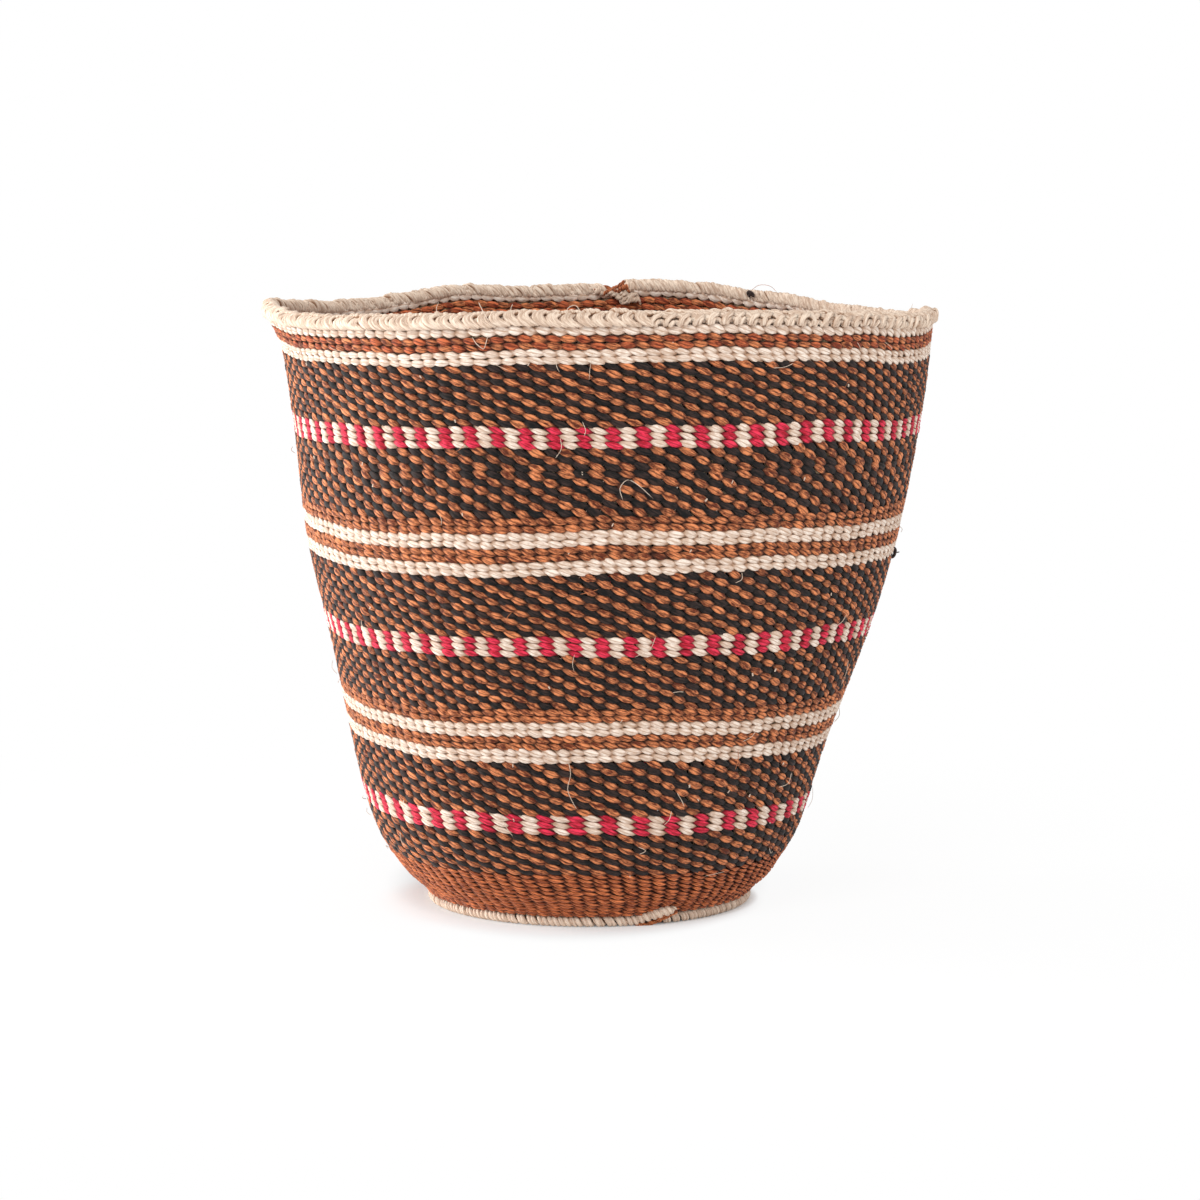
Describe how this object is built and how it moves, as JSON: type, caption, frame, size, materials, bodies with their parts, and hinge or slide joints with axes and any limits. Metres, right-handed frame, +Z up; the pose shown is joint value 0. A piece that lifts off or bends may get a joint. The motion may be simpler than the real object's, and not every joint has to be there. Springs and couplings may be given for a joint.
{
  "type": "kiondo basket",
  "caption": "Tall round twined sisal basket with striped and checked wall, rolled braid rim and corded foot, open at the top.",
  "frame": {"origin": "centre of the basket's outer box at floor level", "axes": "+Z up through the open mouth; -Y is the front, with the foot cord's splice at the front right; +X to the right of the front"},
  "size_m": [0.2516, 0.2456, 0.2339],
  "materials": {
    "brown_sisal": "two-ply sisal yarn dyed brown, matt with a dry fibre sheen",
    "tweed_sisal": "black and brown two-ply sisal yarns twined as a pair, matt",
    "pink_check_sisal": "pink and cream two-ply sisal yarns twined as a pair, matt",
    "cream_sisal": "undyed pale two-ply sisal yarn, matt with a dry fibre sheen",
    "rust_sisal": "light brown and rust brown two-ply sisal yarns twined as a pair, matt",
    "warp_sisal": "undyed sisal warp cords, matt"
  },
  "bodies": {
    "root": {"foot_cord": "cream_sisal", "foot_cord_splice": "brown_sisal", "base_disc": "brown_sisal", "warps_01": "warp_sisal", "warps_02": "warp_sisal", "warps_03": "warp_sisal", "warps_04": "warp_sisal", "warps_05": "warp_sisal", "warps_06": "warp_sisal", "warps_07": "warp_sisal", "warps_08": "warp_sisal", "warps_09": "warp_sisal", "warps_10": "warp_sisal", "warps_11": "warp_sisal", "warps_12": "warp_sisal", "warps_13": "warp_sisal", "warps_14": "warp_sisal", "warps_15": "warp_sisal", "warps_16": "warp_sisal", "foot_brown_weft": "brown_sisal", "lower_tweed_weft_a": "tweed_sisal", "lower_pink_check_weft": "pink_check_sisal", "lower_tweed_weft_b": "tweed_sisal", "lower_cream_stripe_weft_a": "cream_sisal", "lower_brown_stripe_weft_a": "brown_sisal", "lower_cream_stripe_weft_b": "cream_sisal", "lower_brown_stripe_weft_b": "brown_sisal", "middle_tweed_weft_a": "tweed_sisal", "middle_pink_check_weft": "pink_check_sisal", "middle_tweed_weft_b": "tweed_sisal", "upper_cream_stripe_weft_a": "cream_sisal", "upper_brown_stripe_weft_a": "brown_sisal", "upper_cream_stripe_weft_b": "cream_sisal", "upper_brown_stripe_weft_b": "brown_sisal", "upper_tweed_weft_a": "tweed_sisal", "upper_pink_check_weft": "pink_check_sisal", "upper_tweed_weft_b": "tweed_sisal", "mouth_cream_weft_a": "cream_sisal", "mouth_rust_weft": "rust_sisal", "mouth_cream_weft_b": "cream_sisal", "rim_braid": "cream_sisal", "rim_knot": "brown_sisal"}
  },
  "joints": []
}
